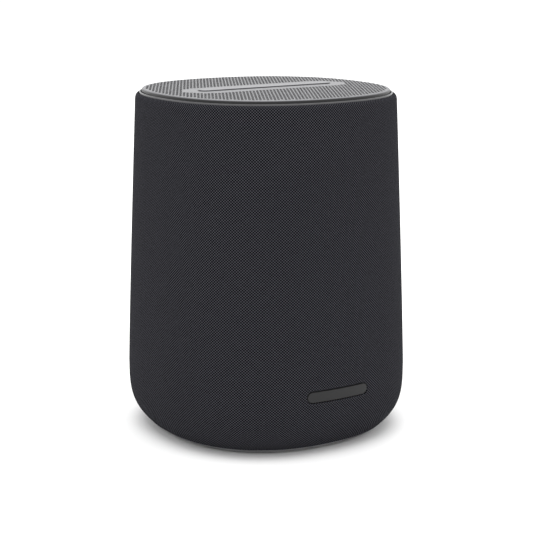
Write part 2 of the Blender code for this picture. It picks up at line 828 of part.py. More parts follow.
def build_badge(materials):
    axis = add_axis("badge_axis", (BADGE_X, 0.0, BADGE_Z), (90.0, 0.0, 0.0))

    def back(x):
        return skin_depth(BADGE_X + x, BADGE_Z) - BADGE_THICKNESS

    def front(x):
        return skin_depth(BADGE_X + x, BADGE_Z) - 0.05

    badge = capsule_strip(BADGE_LENGTH, BADGE_WIDTH, back, front, 0.4)
    add_object("badge", *badge, materials["badge"], axis)


def build_connector_bay(materials):
    first = PANEL_EDGE_DEG + PANEL_GAP_DEG
    last = 180.0 - first
    angles = [first, 82.5, 90.0, 97.5, last]
    levels = [PANEL_BOTTOM + 0.4, 17.0, 24.0, PANEL_TOP - 0.4]

    def outer(z):
        return skin(z) - PANEL_INSET

    def inner(z):
        return skin(z) - PANEL_INSET - PANEL_THICKNESS

    shape = shell(angles, levels, outer, inner, wrap=False)
    panel = add_object("connector_panel", *shape, materials["gloss_black"])

    def opening(size, radius, x, z):
        rings = [rectangle_ring(*size, radius, y, (x, z)) for y in (55.0, 75.0)]
        return facing_y(loft(rings))

    nose_hole = (INLET_NOSE[0] + 0.7, INLET_NOSE[1] + 0.7)
    cut(panel, "inlet_hole", *opening(nose_hole, 2.4, INLET_X, INLET_Z))
    service_hole = (PORT_SLOT[0] + 0.8, PORT_SLOT[1] + 0.8)
    cut(panel, "service_hole", *opening(service_hole, service_hole[1] / 2 - 0.01, SERVICE_X, SERVICE_Z))
    button_hole = (2 * PAIRING_R + 0.6, 2 * PAIRING_R + 0.6)
    cut(panel, "pairing_hole", *opening(button_hole, PAIRING_R + 0.29, PAIRING_X, CONTROLS_Z))
    slider_hole = (MUTE_KNOB[0] + MUTE_TRAVEL + 0.8, MUTE_KNOB[1] + 0.6)
    slider_x = MUTE_X + MUTE_TRAVEL / 2
    cut(panel, "mute_hole", *opening(slider_hole, 0.6, slider_x, CONTROLS_Z))

    body_size = (19.0, 12.4)
    centre = (INLET_X, INLET_Z)
    rings = [
        rectangle_ring(*body_size, 1.5, INLET_BACK_Y, centre),
        rectangle_ring(*body_size, 1.5, INLET_BODY_Y, centre),
        rectangle_ring(*INLET_NOSE, 2.2, INLET_BODY_Y, centre),
        rectangle_ring(*INLET_NOSE, 2.2, INLET_FACE_Y, centre),
        rectangle_ring(*INLET_SOCKET, INLET_SOCKET[1] / 2 - 0.01, INLET_FACE_Y, centre),
        rectangle_ring(*INLET_SOCKET, INLET_SOCKET[1] / 2 - 0.01, INLET_FACE_Y - INLET_DEPTH, centre),
    ]
    add_object("power_inlet", *facing_y(loft(rings)), materials["black_plastic"])
    pin_start = INLET_FACE_Y - INLET_DEPTH + GAP
    pin_end = INLET_FACE_Y - 4.8
    for name, side in (("inlet_pin_left", -1), ("inlet_pin_right", 1)):
        profile = [(PIN_R, pin_start), (PIN_R, pin_end - 0.6), (0.7, pin_end)]
        points, faces = facing_y(turned(profile, segments=SMALL_ROUND))
        points = [(x + INLET_X + side * PIN_SPACING / 2, y, z + INLET_Z) for x, y, z in points]
        add_object(name, points, faces, materials["steel"])

    board_size = (18.6, 18.4)
    board_centre = (10.2, 22.6)
    depths = (PANEL_BOARD_Y, PANEL_BOARD_Y + BOARD_THICKNESS)
    rings = [rectangle_ring(*board_size, 0.6, y, board_centre) for y in depths]
    add_object("panel_board", *facing_y(loft(rings)), materials["board"])
    parts_y = PANEL_BOARD_Y + BOARD_THICKNESS + GAP

    service = [
        rectangle_ring(*PORT_SLOT, 1.6, parts_y, (SERVICE_X, SERVICE_Z)),
        rectangle_ring(*PORT_SLOT, 1.6, 67.2, (SERVICE_X, SERVICE_Z)),
        rectangle_ring(PORT_SLOT[0] - 0.7, PORT_SLOT[1] - 0.7, 1.2, 67.2, (SERVICE_X, SERVICE_Z)),
        rectangle_ring(PORT_SLOT[0] - 0.7, PORT_SLOT[1] - 0.7, 1.2, 60.6, (SERVICE_X, SERVICE_Z)),
    ]
    add_object("service_port", *facing_y(loft(service)), materials["steel"])

    switch = [
        rectangle_ring(6.0, 6.0, 0.4, parts_y, (PAIRING_X, CONTROLS_Z)),
        rectangle_ring(6.0, 6.0, 0.4, parts_y + 2.4, (PAIRING_X, CONTROLS_Z)),
        rectangle_ring(3.0, 3.0, 1.4, parts_y + 2.4, (PAIRING_X, CONTROLS_Z)),
        rectangle_ring(3.0, 3.0, 1.4, parts_y + 3.4, (PAIRING_X, CONTROLS_Z)),
    ]
    add_object("pairing_switch", *facing_y(loft(switch)), materials["black_plastic"])
    pairing_axis = add_axis("pairing_axis", (PAIRING_X, 0.0, CONTROLS_Z), (-90.0, 0.0, 0.0))
    shoulder = parts_y + 3.4 + 0.9
    profile = [
        (PAIRING_R + 0.5, shoulder),
        (PAIRING_R + 0.5, shoulder + 1.0),
        (PAIRING_R, shoulder + 1.0),
        (PAIRING_R, 69.4),
        (PAIRING_R - 0.5, 69.8),
    ]
    add_object("pairing_button", *turned(profile, segments=20), materials["black_plastic"], pairing_axis)

    mute = [
        rectangle_ring(8.0, 4.6, 0.4, parts_y, (slider_x, CONTROLS_Z)),
        rectangle_ring(8.0, 4.6, 0.4, parts_y + 3.0, (slider_x, CONTROLS_Z)),
    ]
    add_object("mute_switch", *facing_y(loft(mute)), materials["steel"])
    mute_axis = add_axis("mute_axis", (MUTE_X, 0.0, CONTROLS_Z), (-90.0, 0.0, 0.0))
    knob = [
        rectangle_ring(MUTE_KNOB[0], MUTE_KNOB[1], 0.4, parts_y + 3.0 + GAP),
        rectangle_ring(MUTE_KNOB[0], MUTE_KNOB[1], 0.4, 68.6),
        rectangle_ring(MUTE_KNOB[0] - 0.8, MUTE_KNOB[1] - 0.8, 0.3, 69.1),
    ]
    add_object("mute_slider", *loft(knob), materials["orange"], mute_axis)


def build_electronics(materials):
    surface = BOARD_BOTTOM + BOARD_THICKNESS + GAP
    board = block((50.0, 48.0, BOARD_THICKNESS), (-20.0, 8.0, BOARD_BOTTOM), 2.0)
    add_object("power_board", *board, materials["board"])
    core = (24.0, 20.0)
    winding = (20.0, 14.0)
    transformer = []
    steps = ((core, 0.0), (core, 4.0), (winding, 4.0), (winding, 14.0), (core, 14.0), (core, 18.0))
    for size, rise in steps:
        transformer.append(rectangle_ring(*size, 2.0, surface + rise, (-30.0, 2.0)))
    add_object("power_transformer", *loft(transformer), materials["ferrite"])
    capacitor = [(7.5, 0.0), (8.0, 1.0), (8.0, 20.0), (7.0, 21.0)]
    capacitor_axis = add_axis("capacitor_axis", (-8.0, -4.0, surface))
    shape = turned(capacitor, segments=20)
    add_object("power_capacitor", *shape, materials["capacitor"], capacitor_axis)

    board = block((36.0, 66.0, BOARD_THICKNESS), (28.0, 0.0, BOARD_BOTTOM), 2.0)
    add_object("main_board", *board, materials["board"])
    shield = block((24.0, 20.0, 3.2), (28.0, -8.0, surface), 1.2)
    add_object("processor_shield", *shield, materials["steel"])

    fin = 1.4
    space = 2.2
    fins = 6
    base_height = 2.0
    height = 12.0
    outline = [(0.0, 0.0)]
    x = 0.0
    for index in range(fins):
        outline += [(x, height), (x + fin, height)]
        x += fin + space
        if index < fins - 1:
            outline += [(x - space, base_height), (x, base_height)]
    width = fins * fin + (fins - 1) * space
    outline.append((width, 0.0))
    rings = [
        [(28.0 - width / 2 + along, y, surface + up) for along, up in outline] for y in (6.0, 22.0)
    ]
    add_object("amplifier_heat_sink", *loft(rings), materials["aluminium"])

    antenna = block((1.0, 34.0, 9.0), (58.0, -4.0, 28.0), 0.4)
    add_object("wireless_antenna", *antenna, materials["board"])


def build_wiring(materials):
    lead = materials["lead"]
    stops = [(INLET_X, 45.4, 22.5), (-10.0, 38.0, 22.0), (-12.0, 28.0, 14.0), (-12.0, 26.0, 11.0)]
    add_lead("mains_lead", stops, 1.4, lead)
    woofer_end_y = BAFFLE_Y + 12.0
    stops = [(34.0, 4.0, z) for z in (10.8, 30.0, 42.0, 50.0)]
    stops += [(36.0, -6.0, 64.0), (36.5, woofer_end_y, 78.0)]
    add_lead("woofer_lead", stops, 1.1, lead)
    stops = [(22.0, 12.0, z) for z in (24.6, 34.0, 42.0, 50.0)]
    stops += [(24.0, 8.0, 90.0), (18.0, 0.0, 126.0)]
    stops += [(8.0, -20.0, 142.0), (2.0, BAFFLE_Y + 15.4, TWEETER_Z)]
    add_lead("tweeter_lead", stops, 1.1, lead)
    stops = [(30.0, 10.8), (30.0, 34.0), (34.0, 38.0), (54.0, 39.5), (57.8, 43.0), (57.8, 164.5)]
    stops += [(57.8, 166.7), (57.2, 167.3), (24.0, 167.3), (20.0, 168.5), (18.6, 170.9), (13.6, 170.9)]
    add_object("ribbon_cable", *ribbon(stops, (9.0, 17.0), 0.4), materials["ribbon"])


def main():
    clear_scene()
    materials = {
        "cloth": make_material("charcoal_cloth", (0.035, 0.035, 0.038), 0.95),
        "black_plastic": make_material("black_plastic", (0.02, 0.02, 0.02), 0.5),
        "grey_plastic": make_material("grey_plastic", (0.12, 0.12, 0.12), 0.55),
        "trim": make_material("dark_grey_trim", (0.05, 0.05, 0.055), 0.45),
        "gloss_black": make_material("gloss_black", (0.015, 0.015, 0.016), 0.15),
        "silver": make_material("silver_metal", (0.62, 0.62, 0.65), 0.32, 1.0),
        "mesh": make_material("acoustic_mesh", (0.01, 0.01, 0.01), 0.9),
        "rubber": make_material("rubber", (0.015, 0.015, 0.015), 0.8),
        "badge": make_material("badge_grey", (0.05, 0.05, 0.055), 0.35),
        "steel": make_material("plated_steel", (0.55, 0.55, 0.56), 0.3, 1.0),
        "black_metal": make_material("black_steel", (0.03, 0.03, 0.03), 0.45, 0.6),
        "aluminium": make_material("aluminium", (0.7, 0.7, 0.72), 0.35, 1.0),
        "ferrite": make_material("ferrite", (0.04, 0.04, 0.045), 0.6),
        "copper": make_material("copper", (0.6, 0.28, 0.14), 0.35, 1.0),
        "cone": make_material("cone_black", (0.02, 0.02, 0.022), 0.7),
        "dome": make_material("silk_dome", (0.03, 0.03, 0.03), 0.8),
        "spider": make_material("spider_yellow", (0.6, 0.4, 0.12), 0.9),
        "wadding": make_material("wadding", (0.75, 0.75, 0.72), 1.0),
        "board": make_material("circuit_board", (0.02, 0.16, 0.07), 0.4),
        "capacitor": make_material("capacitor_sleeve", (0.02, 0.02, 0.06), 0.4),
        "orange": make_material("mute_orange", (0.65, 0.2, 0.05), 0.5),
        "lead": make_material("wire_insulation", (0.03, 0.03, 0.03), 0.6),
        "ribbon": make_material("ribbon_white", (0.7, 0.7, 0.68), 0.5),
    }
    woofer_axis = add_axis("woofer_axis", (0.0, BAFFLE_Y, WOOFER_Z), (-90.0, 0.0, 0.0))
    tweeter_axis = add_axis("tweeter_axis", (0.0, BAFFLE_Y, TWEETER_Z), (-90.0, 0.0, 0.0))
    port_axis = add_axis("port_axis", (PORT_X, REAR_Y, PORT_Z), (-90.0, 0.0, 0.0))
    bar_axis = add_axis("bar_axis", (0.0, 0.0, bar_axis_z()))
    build_base(materials)
    build_cloth(materials)
    build_grille_frame(materials)
    build_enclosure(materials, woofer_axis, tweeter_axis, port_axis)
    build_woofer(materials, woofer_axis)
    build_tweeter(materials, tweeter_axis)
    build_top(materials, bar_axis)
    build_badge(materials)
    build_connector_bay(materials)
    build_electronics(materials)
    build_wiring(materials)


main()
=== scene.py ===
"""Looks of a fabric-wrapped smart speaker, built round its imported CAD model.

Axes are the CAD's: +Z is up, the front with the badge faces -Y, the control bar runs along X, and the
origin is the centre of the foot. Lengths in this file are millimetres; add_piece turns them into metres.
"""

import bisect
import math

import bpy
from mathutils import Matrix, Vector
from mathutils.geometry import delaunay_2d_cdt

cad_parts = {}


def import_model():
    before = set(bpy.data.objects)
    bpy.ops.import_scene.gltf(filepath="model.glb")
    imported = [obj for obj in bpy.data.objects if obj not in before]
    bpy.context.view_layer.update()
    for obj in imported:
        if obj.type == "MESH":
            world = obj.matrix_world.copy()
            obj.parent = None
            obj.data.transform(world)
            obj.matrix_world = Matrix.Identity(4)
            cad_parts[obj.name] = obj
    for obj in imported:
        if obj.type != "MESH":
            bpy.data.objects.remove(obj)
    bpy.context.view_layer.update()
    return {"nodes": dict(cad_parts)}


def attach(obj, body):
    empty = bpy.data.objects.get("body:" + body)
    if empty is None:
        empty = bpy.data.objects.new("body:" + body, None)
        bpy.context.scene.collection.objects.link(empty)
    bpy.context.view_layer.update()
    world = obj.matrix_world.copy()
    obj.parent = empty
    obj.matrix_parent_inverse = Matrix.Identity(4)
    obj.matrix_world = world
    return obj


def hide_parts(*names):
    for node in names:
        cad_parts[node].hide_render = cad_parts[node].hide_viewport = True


MM = 0.001
FRONT = 0.75  # shares of the way round the plan curve, counted from +X to +Y
BACK = 0.25
ROUND_SEGMENTS = 256
PLAN_STEPS = 7200
FINE_STEP = 0.4  # how far apart points stand round a small opening

# Outer skin, as in the CAD: a rounded square in plan, widest low down, tapering to a rounded shoulder.
PLAN_EXPONENT = 2.28
BASE_Z = 0.5
BASE_HALF = 57.1
BELLY_Z = 33.5
BELLY_HALF = 70.1
BASE_CURVE = 3.7
TAPER_RATE = 0.0207
TAPER_CURVE = 1.13
SHOULDER_Z = 171.4
SHOULDER_HEIGHT = 3.2
SHOULDER_TOP_HALF = 62.8

# Cloth
CLOTH_BOTTOM = 3.0
CLOTH_THICKNESS = 0.45
FOLD_R = 0.5  # the cloth's own rounding where it is tucked in
TUCK = 1.4  # how far it goes in at a hole
THREADS_ROUND = 592
THREAD_HEIGHT = 0.69
CLOTH_STEP = 2.2
CLOTH_LEAST_ROW = 0.12
CLOTH_EDGE_MARGIN = 1.8  # bare ring round an opening, where its own lines of points stand
BACK_SEAM_DEPTH = 0.3
BACK_SEAM_WIDTH = 0.45
BACK_SEAM_REACH = 10.0
CLOTH_DARK = (0.001, 0.001, 0.0015)
CLOTH_LIGHT = (0.056, 0.056, 0.065)
CLOTH_SPECK = (0.10, 0.10, 0.108)

# Top plate, its holes and the control bar
PLATE_HALF = 61.3
PLATE_RIM_Z = 176.95
PLATE_RISE = 0.3
DOME_EXPONENT = 4.0
PLATE_THICKNESS = 1.0
PLATE_ROLL = 1.0
PLATE_SKIRT_Z = 173.9
HOLE_PITCH = 2.0
HOLE_R = 0.76
HOLE_SIDES = 12
HOLE_ZONE_HALF = 59.4
BAND_LENGTH = 96.0
BAND_WIDTH = 25.0
BAR_LENGTH = 78.7
BAR_WIDTH = 7.4
BAR_GAP = 0.3
BAR_PROUD = 0.55
BAR_BOTTOM = 174.4
BAR_EDGE_R = 0.4
LIP_INNER_HALF = 61.9
LIP_OUTER_HALF = 62.5
LIP_TOP = 175.3
LIP_BOTTOM = 171.4

# Badge
BADGE_LENGTH = 35.5
BADGE_WIDTH = 5.4
BADGE_X = -1.6
BADGE_Z = 31.4
BADGE_THICKNESS = 1.3
BADGE_GAP = 0.4
BADGE_EDGE_R = 0.35
BADGE_INSET = 0.1  # how far its face lies under the skin

# Connector panel at the back; its width is measured along the belly's plan curve
PANEL_HALF_WIDTH = 20.9
PANEL_BOTTOM = 12.4
PANEL_TOP = 33.1
PANEL_GAP = 0.45
PANEL_CORNER_R = 3.0
PANEL_INSET = 0.5
PANEL_THICKNESS = 2.8
INLET_X = -9.5
INLET_Z = 22.5
INLET_HOLE = (17.1, 10.6, 2.4)
SERVICE_X = 8.5
SERVICE_Z = 17.6
SERVICE_HOLE = (10.0, 4.2)
PORT_LINING = (8.3, 2.5, 1.2)
PORT_TONGUE = (6.4, 0.7, 0.3)
PORT_DEPTHS = (60.7, 64.6, 66.6)  # the lining's back and face, and the tongue's end
CONTROLS_Z = 27.4
PAIRING_X = 4.6
PAIRING_R = 2.6
MUTE_X = 13.0
MUTE_KNOB = (3.4, 2.4)
MUTE_TRAVEL = 2.5
CONTROL_GAP = 0.3  # round the button and the slider

# Base
TRIM_TOP = 2.7
TRIM_INNER_HALF = 54.0
FOOT_OUTER_HALF = 52.0
FOOT_INNER_HALF = 44.0
FOOT_TOP = 2.6

# Camera: where it stands, the way it looks, and how wide it sees
CAMERA_PLACE = (-422.54, -657.19, 254.2)
CAMERA_AIM = (0.52924, 0.82080, -0.21491)
CAMERA_LENS = 102.25

# Stage, in metres and watts
FLOOR_REACH = 12.0
FLOOR_TONES = (0.89, 0.91)
WORLD_STRENGTH = 1.14
LAMP_PLACE = (0.0, 0.0, 2.4)
LAMP_TARGET = (0.0, 0.0, 0.09)
LAMP_SIZE = 3.0
LAMP_POWER = 60.0

# CAD nodes that stay visible and get rounded edges
SOFTENED = ("power_inlet", "pairing_button", "mute_slider", "service_port", "mute_switch")
SOFTENED_R = 0.15


# ---------------------------------------------------------------- shapes

def plan_point(half, degrees):
    """A point of the plan curve |x|^n + |y|^n = half^n."""
    cosine = math.cos(math.radians(degrees))
    sine = math.sin(math.radians(degrees))
    x = math.copysign(abs(cosine) ** (2.0 / PLAN_EXPONENT), cosine)
    y = math.copysign(abs(sine) ** (2.0 / PLAN_EXPONENT), sine)
    return half * x, half * y


def running_length(points):
    """The length of a line of points up to each of them."""
    lengths = [0.0]
    for start, end in zip(points, points[1:]):
        lengths.append(lengths[-1] + math.dist(start, end))
    return lengths


PLAN_CURVE = [plan_point(1.0, 360.0 * i / PLAN_STEPS) for i in range(PLAN_STEPS + 1)]
PLAN_LENGTHS = running_length(PLAN_CURVE)
BELLY_ROUND = PLAN_LENGTHS[-1] * BELLY_HALF


def between(keys, values, key):
    """The value at a key, read along a line of points."""
    i = min(max(bisect.bisect_right(keys, key), 1), len(keys) - 1)
    share = (key - keys[i - 1]) / (keys[i] - keys[i - 1])
    return [a + (b - a) * share for a, b in zip(values[i - 1], values[i])]


def plan_at(half, share):
    """A point at this share of the way round the plan curve, even along its length, from +X to +Y."""
    x, y = between(PLAN_LENGTHS, PLAN_CURVE, (share % 1.0) * PLAN_LENGTHS[-1])
    return half * x, half * y


def skin(z):
    """Half width of the outer skin at a height."""
    if z < BELLY_Z:
        drop = (BELLY_HALF - BASE_HALF) * ((BELLY_Z - z) / (BELLY_Z - BASE_Z)) ** BASE_CURVE
        return BELLY_HALF - drop
    return BELLY_HALF - TAPER_RATE * (min(z, SHOULDER_Z) - BELLY_Z) ** TAPER_CURVE


def skin_depth(x, z):
    """How far the skin reaches forwards or backwards of the centre at this x and height."""
    half = skin(z)
    return half * (1.0 - (abs(x) / half) ** PLAN_EXPONENT) ** (1.0 / PLAN_EXPONENT)


def plan_half(x, y):
    """The half width of the plan curve that passes through a point."""
    return (abs(x) ** PLAN_EXPONENT + abs(y) ** PLAN_EXPONENT) ** (1.0 / PLAN_EXPONENT)


def plate_height(x, y):
    """Height of the top plate's upper face, which is all but flat."""
    return PLATE_RIM_Z + PLATE_RISE * (1.0 - (plan_half(x, y) / PLATE_HALF) ** DOME_EXPONENT)


def rounded_distance(x, y, width, height, radius):
    """Distance from a point to a rounded rectangle round the origin; it is negative inside."""
    across = abs(x) - width / 2 + radius
    up = abs(y) - height / 2 + radius
    outside = math.hypot(max(across, 0.0), max(up, 0.0))
    return outside + min(max(across, up), 0.0) - radius


def rounded_loop(width, height, radius, centre=(0.0, 0.0), grow=0.0, step=0.6):
    """Points round a rounded rectangle, about a step apart, moved outwards by grow."""
    straight_x = width / 2 - radius
    straight_y = height / 2 - radius
    radius += grow
    corner_steps = max(4, round(math.pi / 2 * radius / step))
    loop = []
    for corner in range(4):
        sign_x = (1, -1, -1, 1)[corner]
        sign_y = (1, 1, -1, -1)[corner]
        for i in range(corner_steps + 1):
            angle = math.radians(90.0 * (corner + i / corner_steps))
            x = centre[0] + sign_x * straight_x + radius * math.cos(angle)
            y = centre[1] + sign_y * straight_y + radius * math.sin(angle)
            if loop and math.dist(loop[-1], (x, y)) > step * 1.5:
                loop += spaced(loop[-1], (x, y), step)
            loop.append((x, y))
    if math.dist(loop[-1], loop[0]) > step * 1.5:
        loop += spaced(loop[-1], loop[0], step)
    return loop


def spaced(start, end, step):
    """Points strictly between two others, about a step apart."""
    count = max(1, round(math.dist(start, end) / step))
    shares = [i / count for i in range(1, count)]
    return [tuple(a + (b - a) * share for a, b in zip(start, end)) for share in shares]


def fold(distance, radius):
    """How deep a rounded edge has gone at this distance from it."""
    if distance >= radius:
        return 0.0
    return radius - math.sqrt(radius**2 - (radius - max(distance, 0.0)) ** 2)


def fold_steps(radius):
    """Distances from an edge at which a rounded edge needs a line of points."""
    return [radius * (1.0 - math.cos(math.radians(angle))) for angle in (0, 22, 45, 67, 90)][1:]


# ---------------------------------------------------------------- meshes

def add_piece(name, points, faces, body, material, slot=None, sharp_deg=32.0):
    """A mesh piece from millimetre points that rides on a body, shaded smooth up to sharp_deg."""
    mesh = bpy.data.meshes.new(name)
    mesh.from_pydata([Vector(point) * MM for point in points], [], faces)
    mesh.shade_smooth()
    mesh.set_sharp_from_angle(angle=math.radians(sharp_deg))
    mesh.materials.append(material)
    piece = bpy.data.objects.new(name, mesh)
    bpy.context.collection.objects.link(piece)
    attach(piece, body)
    return piece


def slab(outline, holes, inside, outer, inner, turns_round=None):
    """A closed slab over a flat layout, and the layout point of each face corner.

    outer and inner place a layout point in space. Where the layout is a band that goes once round,
    turns_round is its length, and its two ends are joined.
    """
    layout = []
    loops = []
    without_holes = 2  # delaunay_2d_cdt then fills the outline and leaves its holes open
    merge_distance = 1e-5
    for loop in (outline, *holes):
        loops.append(list(range(len(layout), len(layout) + len(loop))))
        layout += loop
    layout = [Vector(point) for point in layout + inside]
    spots, _, triangles, *_ = delaunay_2d_cdt(layout, [], loops, without_holes, merge_distance)
    index = {}
    places = []
    for x, y in spots:
        across = round(x / turns_round, 6) % 1.0 if turns_round else round(x, 4)
        places.append(index.setdefault((across, round(y, 4)), len(index)))
    firsts = {}
    for spot, place in zip(spots, places):
        firsts.setdefault(place, spot)
    count = len(firsts)
    points = [outer(*firsts[i]) for i in range(count)] + [inner(*firsts[i]) for i in range(count)]
    faces = []
    corners = []
    edges = {}
    for triangle in triangles:
        face = [places[i] for i in triangle]
        faces.append(face)
        corners += [spots[i] for i in triangle]
        faces.append([i + count for i in reversed(face)])
        corners += [spots[i] for i in reversed(triangle)]
        for k in range(3):
            edges[face[k], face[k - 2]] = (triangle[k], triangle[k - 2])
    for (a, b), (spot_a, spot_b) in edges.items():
        if (b, a) not in edges:
            faces.append([b, a, a + count, b + count])
            corners += [spots[spot_b], spots[spot_a], spots[spot_a], spots[spot_b]]
    return points, faces, corners


def loft(rings, closed=False):
    """Joins rings of points by faces, and closes the ends; closed joins the last ring to the first."""
    size = len(rings[0])
    points = [point for ring in rings for point in ring]
    faces = []
    spans = range(len(rings) if closed else len(rings) - 1)
    for row in spans:
        low = row * size
        high = (row + 1) % len(rings) * size
        for i in range(size):
            j = (i + 1) % size
            faces.append([low + i, low + j, high + j, high + i])
    if not closed:
        faces.append(list(range(size))[::-1])
        faces.append([len(points) - size + i for i in range(size)])
    return points, faces


def square_turned(profile):
    """A closed ring-shaped body: (half width, z) points swept round the plan curve."""
    rings = []
    for half, z in profile:
        rings.append([(*plan_at(half, i / ROUND_SEGMENTS), z) for i in range(ROUND_SEGMENTS)])
    return loft(rings, closed=True)


# ---------------------------------------------------------------- materials

def add_node(tree, kind, values=None, **settings):
    """A shader node with its settings, and its inputs set to values or linked from other nodes."""
    made = tree.nodes.new(kind)
    for name, value in settings.items():
        setattr(made, name, value)
    for name, value in (values or {}).items():
        if isinstance(value, bpy.types.NodeSocket):
            tree.links.new(value, made.inputs[name])
        else:
            made.inputs[name].default_value = value
    return made


def calculate(tree, operation, *values):
    """The result of one Math node."""
    return add_node(tree, "ShaderNodeMath", dict(enumerate(values)), operation=operation).outputs[0]


def noise(tree, vector, scale, detail=2.0):
    """A noise value from about 0.3 to 0.7."""
    return add_node(
        tree, "ShaderNodeTexNoise", {"Vector": vector, "Scale": scale, "Detail": detail}
    ).outputs["Fac"]


def spread(tree, value, low, high, start=0.3, end=0.7):
    """A value mapped from the range start to end onto low to high."""
    values = {"Value": value, "From Min": start, "From Max": end, "To Min": low, "To Max": high}
    return add_node(tree, "ShaderNodeMapRange", values).outputs["Result"]


def mix_colours(tree, share, first, second):
    """A colour between two, as rgb triples or sockets."""
    node = add_node(tree, "ShaderNodeMix", data_type="RGBA")
    for socket, value in ((node.inputs[0], share), (node.inputs[6], first), (node.inputs[7], second)):
        if isinstance(value, bpy.types.NodeSocket):
            tree.links.new(value, socket)
        elif isinstance(value, tuple):
            socket.default_value = (*value, 1.0)
        else:
            socket.default_value = value
    return node.outputs[2]


def start_material(name, roughness, metallic=0.0):
    """A new material, its node tree, its shader, and object coordinates in metres."""
    material = bpy.data.materials.new(name)
    material.use_nodes = True
    tree = material.node_tree
    shader = tree.nodes["Principled BSDF"]
    shader.inputs["Roughness"].default_value = roughness
    shader.inputs["Metallic"].default_value = metallic
    place = tree.nodes.new("ShaderNodeTexCoord").outputs["Object"]
    return material, tree, shader, place


def bump(tree, shader, height, distance_mm, strength=1.0):
    """Relief on a shader's normal."""
    values = {"Height": height, "Distance": distance_mm * MM, "Strength": strength}
    node = add_node(tree, "ShaderNodeBump", values)
    tree.links.new(node.outputs["Normal"], shader.inputs["Normal"])


def moulded(name, colour, roughness, grain_mm=0.35, depth_mm=0.02, metallic=0.0):
    """Moulded plastic, rubber or coated metal: a fine grain, and slow changes of tone and gloss."""
    material, tree, shader, place = start_material(name, roughness, metallic)
    grain = noise(tree, place, 1.0 / (grain_mm * MM), 3.0)
    drift = noise(tree, place, 1.0 / (18.0 * MM), 2.0)
    darker = tuple(channel * 0.86 for channel in colour)
    lighter = tuple(min(channel * 1.14, 1.0) for channel in colour)
    tone = mix_colours(tree, spread(tree, drift, 0.0, 1.0), darker, lighter)
    tree.links.new(tone, shader.inputs["Base Color"])
    gloss = spread(tree, grain, roughness - 0.05, roughness + 0.07)
    tree.links.new(gloss, shader.inputs["Roughness"])
    bump(tree, shader, grain, depth_mm, 0.6)
    return material


def brushed(name, colour, roughness, stretch=(1.0, 40.0, 40.0), metallic=1.0, shine=0.5):
    """Metal with fine drawn lines; stretch squeezes the grain across its length."""
    material, tree, shader, place = start_material(name, roughness, metallic)
    shader.inputs["Specular IOR Level"].default_value = shine
    lines = add_node(tree, "ShaderNodeMapping", {"Vector": place, "Scale": stretch}).outputs["Vector"]
    grain = noise(tree, lines, 180.0, 3.0)
    darker = tuple(channel * 0.9 for channel in colour)
    tone = mix_colours(tree, spread(tree, grain, 0.0, 1.0), darker, colour)
    tree.links.new(tone, shader.inputs["Base Color"])
    gloss = spread(tree, grain, roughness - 0.06, roughness + 0.08)
    tree.links.new(gloss, shader.inputs["Roughness"])
    bump(tree, shader, grain, 0.01, 0.4)
    return material


def woven_cloth(name):
    """Charcoal plain weave with lighter fibres in it, one unit of the UV map to a thread."""
    along_scale = 0.22  # shade changes slowly along a thread
    crossing_contrast = 2.4
    least_light = 0.1
    thread_contrast = 0.9
    material, tree, shader, _ = start_material(name, 0.9)
    threads = add_node(tree, "ShaderNodeUVMap", uv_map="Threads").outputs["UV"]
    axes = add_node(tree, "ShaderNodeSeparateXYZ", {"Vector": threads}).outputs
    wave_u = calculate(tree, "SINE", calculate(tree, "MULTIPLY", axes["X"], math.pi))
    wave_v = calculate(tree, "SINE", calculate(tree, "MULTIPLY", axes["Y"], math.pi))
    crossing = calculate(tree, "MULTIPLY", wave_u, wave_v)
    over = calculate(tree, "MULTIPLY_ADD", crossing, 0.5, 0.5)
    under = calculate(tree, "SUBTRACT", 1.0, over)
    upright = calculate(tree, "MULTIPLY", calculate(tree, "ABSOLUTE", wave_u), over)
    level = calculate(tree, "MULTIPLY", calculate(tree, "ABSOLUTE", wave_v), under)
    height = calculate(tree, "MAXIMUM", upright, level)
    upright_on_top = calculate(tree, "GREATER_THAN", crossing, 0.0)

    column = calculate(tree, "FLOOR", axes["X"])
    row = calculate(tree, "FLOOR", axes["Y"])
    slow_y = calculate(tree, "MULTIPLY", axes["Y"], along_scale)
    slow_x = calculate(tree, "MULTIPLY", axes["X"], along_scale)
    along_column = add_node(tree, "ShaderNodeCombineXYZ", {"X": column, "Y": slow_y}).outputs[0]
    along_row = add_node(tree, "ShaderNodeCombineXYZ", {"X": slow_x, "Y": row, "Z": 7.5}).outputs[0]
    shade_column = noise(tree, along_column, 1.7, 3.0)
    shade_row = noise(tree, along_row, 1.7, 3.0)
    thread_shade = add_node(
        tree, "ShaderNodeMix", {0: upright_on_top, 2: shade_row, 3: shade_column}, data_type="FLOAT"
    ).outputs[0]
    lift = calculate(tree, "MULTIPLY_ADD", crossing, crossing_contrast, least_light)
    from_middle = calculate(tree, "SUBTRACT", thread_shade, 0.5)
    shade = calculate(tree, "MULTIPLY_ADD", from_middle, thread_contrast, lift)
    tone = mix_colours(tree, shade, CLOTH_DARK, CLOTH_LIGHT)
    fibre = noise(tree, threads, 1.9, 3.0)
    speck = spread(tree, fibre, 0.0, 0.6, 0.62, 0.78)
    tone = mix_colours(tree, speck, tone, CLOTH_SPECK)
    tree.links.new(tone, shader.inputs["Base Color"])
    shader.inputs["Specular IOR Level"].default_value = 0.02
    bump(tree, shader, height, 0.2, 0.5)
    return material


